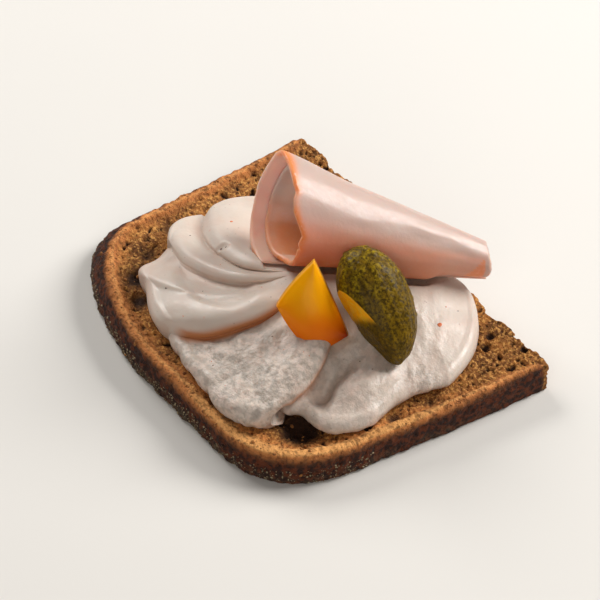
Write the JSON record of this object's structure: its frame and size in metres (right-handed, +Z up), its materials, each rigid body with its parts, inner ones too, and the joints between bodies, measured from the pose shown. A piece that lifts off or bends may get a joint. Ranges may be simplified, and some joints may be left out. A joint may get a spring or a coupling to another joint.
{
  "type": "open sandwich",
  "caption": "Open sandwich: a cut slice of dark rye bread under a piped swirl of savoury cream, with a roll of ham, a piece of yellow pepper and one of pickled gherkin.",
  "frame": {"origin": "middle of the whole sandwich in plan, at the underside of the bread", "axes": "+X along the slice's longer side, +Y from the front crust towards the bare cut face, +Z up"},
  "size_m": [0.0736, 0.0586, 0.0357],
  "materials": {
    "bread": "porous rye crumb with a browned, floury crust",
    "cream": "moist whipped cream, smooth on the swirls and bubbly at the front",
    "ham": "moist cooked ham with a browned rind at its edge",
    "pepper": "smooth glossy skin",
    "pickle": "wet bumpy skin with paler flesh on the cut"
  },
  "bodies": {
    "root": {"bread": "bread", "cream": "cream", "ham_roll": "ham", "pepper": "pepper", "pickle": "pickle"}
  },
  "joints": []
}
